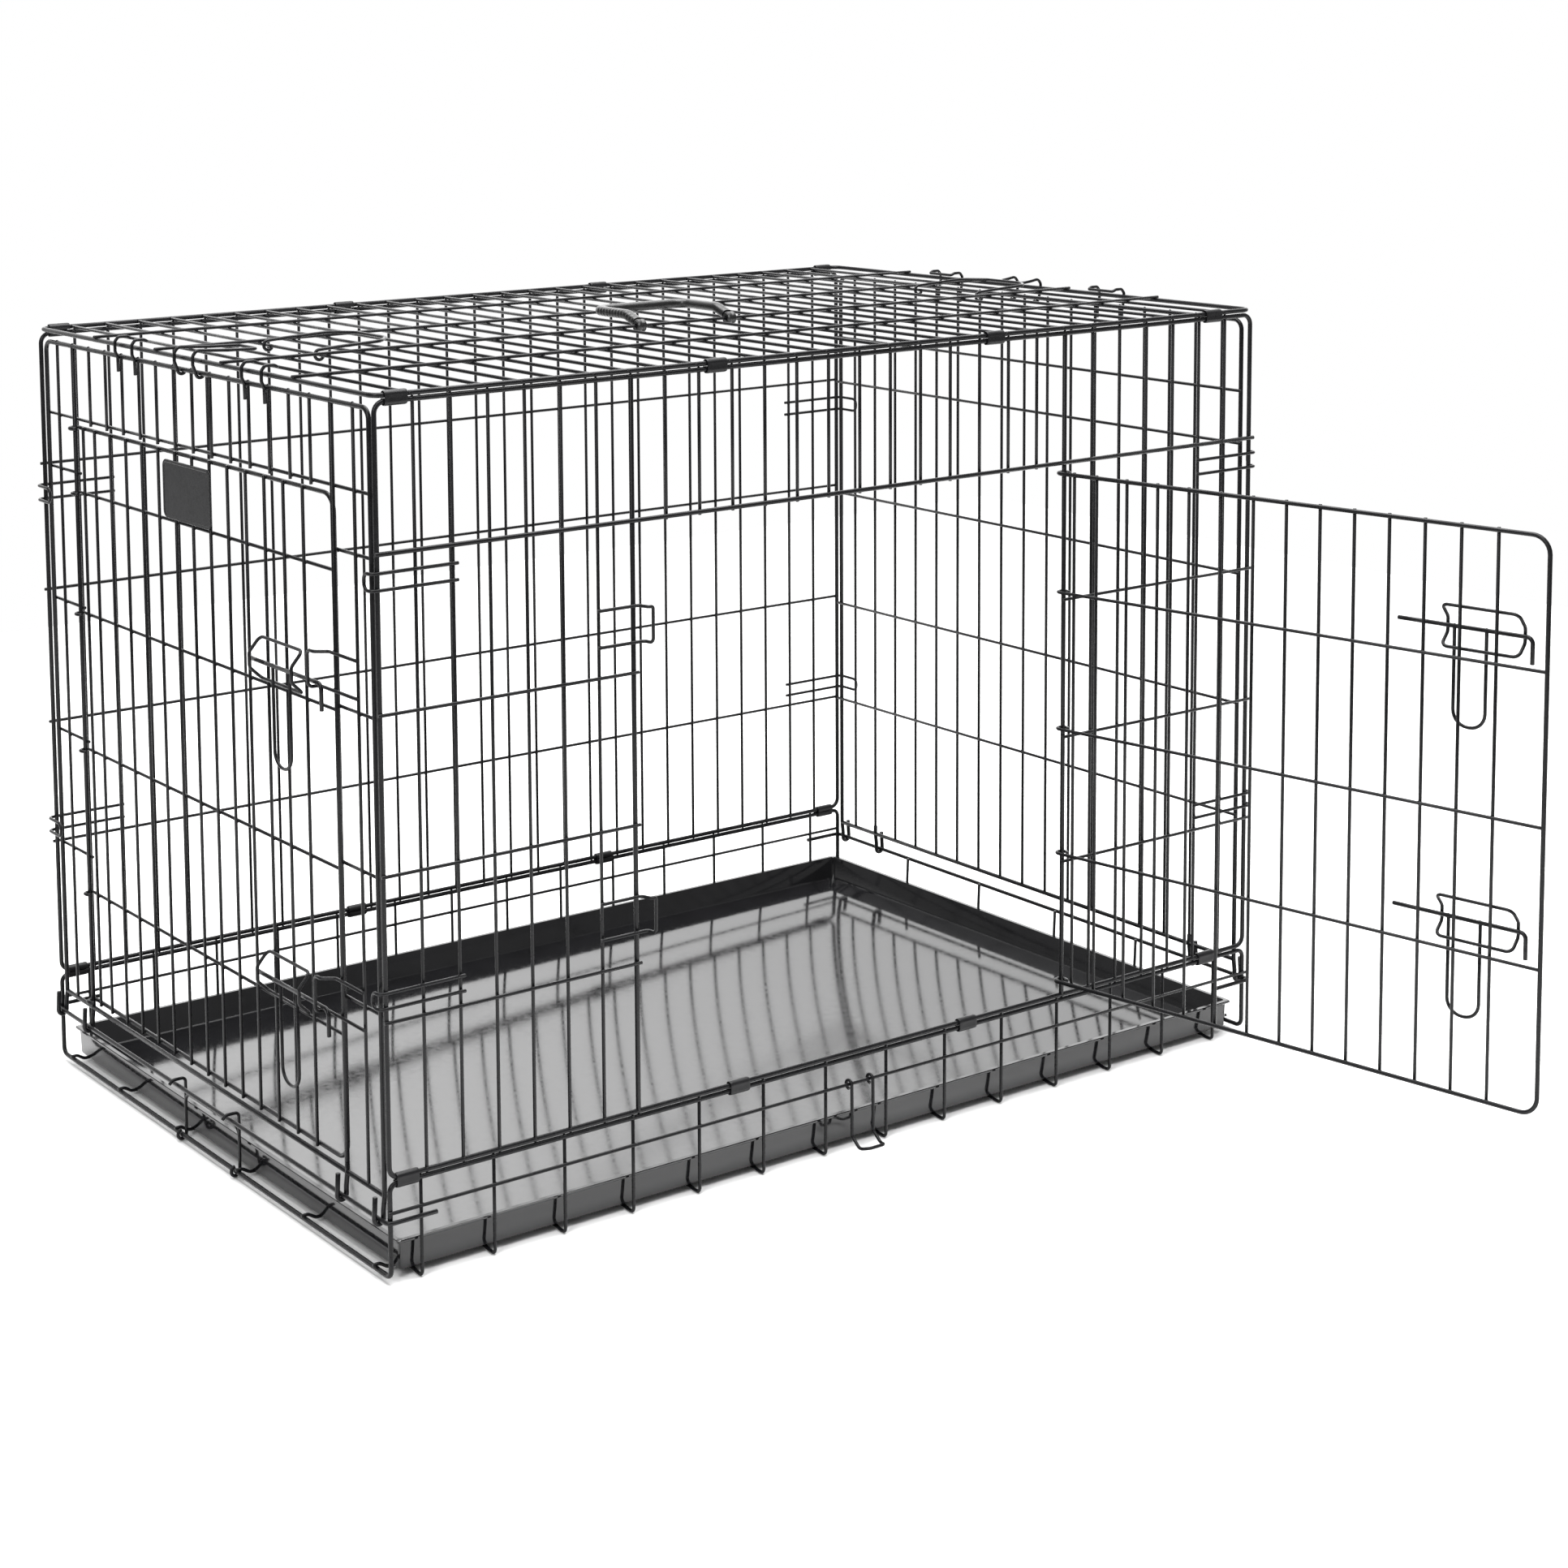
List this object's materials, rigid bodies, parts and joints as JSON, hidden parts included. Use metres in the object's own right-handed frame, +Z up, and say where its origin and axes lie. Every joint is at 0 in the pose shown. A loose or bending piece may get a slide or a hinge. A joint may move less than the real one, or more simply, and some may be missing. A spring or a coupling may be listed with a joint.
{
  "type": "wire dog crate",
  "caption": "Folding wire dog crate with a side door, an end door, slide-bolt latches, a removable floor tray and a folding roof handle.",
  "frame": {"origin": "centre of the bounding box, open side door included, at floor level", "axes": "+X along the crate towards the end with no door, +Y towards the rear long side, +Z up"},
  "size_m": [1.0754, 1.186, 0.7886],
  "materials": {
    "wire_black": "gloss",
    "sheet_black": "satin",
    "tray_black": "high gloss",
    "grip_black": "satin"
  },
  "bodies": {
    "crate": {"base_floor": "wire_black", "base_front_side": "wire_black", "base_rear_side": "wire_black", "base_left_bar": "wire_black", "base_right_bar": "wire_black", "front_panel": "wire_black", "rear_panel": "wire_black", "roof_panel": "wire_black", "clip_top_front_1": "sheet_black", "clip_top_front_2": "sheet_black", "clip_top_front_3": "sheet_black", "clip_top_front_4": "sheet_black", "clip_top_rear_1": "sheet_black", "clip_top_rear_2": "sheet_black", "clip_top_rear_3": "sheet_black", "clip_top_rear_4": "sheet_black", "clip_bottom_front_1": "sheet_black", "clip_bottom_front_2": "sheet_black", "clip_bottom_front_3": "sheet_black", "clip_bottom_front_4": "sheet_black", "clip_bottom_rear_1": "sheet_black", "clip_bottom_rear_2": "sheet_black", "clip_bottom_rear_3": "sheet_black", "clip_bottom_rear_4": "sheet_black"},
    "tray": {"tray": "tray_black"},
    "pan_stop": {"pan_stop": "wire_black"},
    "carry_lock": {"carry_lock": "wire_black"},
    "roof_handle": {"roof_handle": "grip_black"},
    "left_roof_bail": {"left_roof_bail": "wire_black"},
    "right_roof_bail": {"right_roof_bail": "wire_black"},
    "left_end": {"left_end_panel": "wire_black", "left_end_hook_1": "wire_black", "left_end_hook_2": "wire_black", "left_end_hook_3": "wire_black", "left_end_hook_4": "wire_black", "end_upper_keeper": "wire_black", "end_lower_keeper": "wire_black"},
    "right_end": {"right_end_panel": "wire_black", "right_end_hook_1": "wire_black", "right_end_hook_2": "wire_black", "right_end_hook_3": "wire_black", "right_end_hook_4": "wire_black"},
    "left_roof_latch": {"left_roof_latch": "wire_black"},
    "right_roof_latch": {"right_roof_latch": "wire_black"},
    "front_door": {"front_door": "wire_black", "front_upper_guide": "wire_black", "front_lower_guide": "wire_black"},
    "end_door": {"end_door": "wire_black", "end_upper_guide": "wire_black", "end_lower_guide": "wire_black", "label_plate": "sheet_black"},
    "front_upper_slide": {"front_upper_bolt_tail": "wire_black"},
    "front_upper_bolt": {"front_upper_bolt": "wire_black"},
    "front_lower_slide": {"front_lower_bolt_tail": "wire_black"},
    "front_lower_bolt": {"front_lower_bolt": "wire_black"},
    "end_upper_slide": {"end_upper_bolt_tail": "wire_black"},
    "end_upper_bolt": {"end_upper_bolt": "wire_black"},
    "end_lower_slide": {"end_lower_bolt_tail": "wire_black"},
    "end_lower_bolt": {"end_lower_bolt": "wire_black"}
  },
  "joints": [
    {"name": "tray_slide", "type": "slide", "parent": "crate", "child": "tray", "axis": [1, 0, 0], "range_m": [-0.002, 0.002]},
    {"name": "pan_stop_hinge", "type": "hinge", "parent": "crate", "child": "pan_stop", "pos_m": [-0.5225, 0.2508, 0.007], "axis": [0, 1, 0], "range_deg": [-3, 0]},
    {"name": "carry_lock_hinge", "type": "hinge", "parent": "crate", "child": "carry_lock", "pos_m": [-0.0045, -0.0873, 0.066], "axis": [1, 0, 0], "range_deg": [-100, 0]},
    {"name": "roof_handle_hinge", "type": "hinge", "parent": "crate", "child": "roof_handle", "pos_m": [-0.0035, 0.1838, 0.7731], "axis": [1, 0, 0], "range_deg": [0, 165]},
    {"name": "left_roof_bail_hinge", "type": "hinge", "parent": "crate", "child": "left_roof_bail", "pos_m": [-0.41386, 0.2508, 0.77], "axis": [0, -1, 0], "range_deg": [0, 150]},
    {"name": "right_roof_bail_hinge", "type": "hinge", "parent": "crate", "child": "right_roof_bail", "pos_m": [0.40721, 0.2508, 0.77], "axis": [0, -1, 0], "range_deg": [0, 150]},
    {"name": "left_end_fold", "type": "hinge", "parent": "crate", "child": "left_end", "pos_m": [-0.5275, 0.2508, 0.058], "axis": [0, 1, 0], "range_deg": [0, 85]},
    {"name": "right_end_fold", "type": "hinge", "parent": "crate", "child": "right_end", "pos_m": [0.5275, 0.2508, 0.058], "axis": [0, 1, 0], "range_deg": [-88, 0]},
    {"name": "left_roof_latch_hinge", "type": "hinge", "parent": "left_end", "child": "left_roof_latch", "pos_m": [-0.5214, 0.2508, 0.7585], "axis": [0, 1, 0], "range_deg": [-100, 0]},
    {"name": "right_roof_latch_hinge", "type": "hinge", "parent": "right_end", "child": "right_roof_latch", "pos_m": [0.5214, 0.2508, 0.7585], "axis": [0, 1, 0], "range_deg": [0, 100]},
    {"name": "front_door_hinge", "type": "hinge", "parent": "crate", "child": "front_door", "pos_m": [0.26125, -0.0842, 0.368], "axis": [0, 0, 1], "range_deg": [-100, 60]},
    {"name": "end_door_hinge", "type": "hinge", "parent": "left_end", "child": "end_door", "pos_m": [-0.5214, 0.51136, 0.38], "axis": [0, 0, 1], "range_deg": [-150, 0]},
    {"name": "front_upper_bolt_slide", "type": "slide", "parent": "front_door", "child": "front_upper_slide", "axis": [0.1736, -0.9848, 0], "range_m": [0, 0.028]},
    {"name": "front_upper_bolt_turn", "type": "hinge", "parent": "front_upper_slide", "child": "front_upper_bolt", "pos_m": [0.33863, -0.46891, 0.532], "axis": [0.1736, -0.9848, 0], "range_deg": [0, 175]},
    {"name": "front_lower_bolt_slide", "type": "slide", "parent": "front_door", "child": "front_lower_slide", "axis": [0.1736, -0.9848, 0], "range_m": [0, 0.028]},
    {"name": "front_lower_bolt_turn", "type": "hinge", "parent": "front_lower_slide", "child": "front_lower_bolt", "pos_m": [0.33863, -0.46891, 0.267], "axis": [0.1736, -0.9848, 0], "range_deg": [0, 175]},
    {"name": "end_upper_bolt_slide", "type": "slide", "parent": "end_door", "child": "end_upper_slide", "axis": [0, 1, 0], "range_m": [0, 0.007]},
    {"name": "end_upper_bolt_turn", "type": "hinge", "parent": "end_upper_slide", "child": "end_upper_bolt", "pos_m": [-0.5308, 0.10056, 0.512], "axis": [0, 1, 0], "range_deg": [0, 175]},
    {"name": "end_lower_bolt_slide", "type": "slide", "parent": "end_door", "child": "end_lower_slide", "axis": [0, 1, 0], "range_m": [0, 0.007]},
    {"name": "end_lower_bolt_turn", "type": "hinge", "parent": "end_lower_slide", "child": "end_lower_bolt", "pos_m": [-0.5308, 0.10056, 0.222], "axis": [0, 1, 0], "range_deg": [0, 175]}
  ]
}
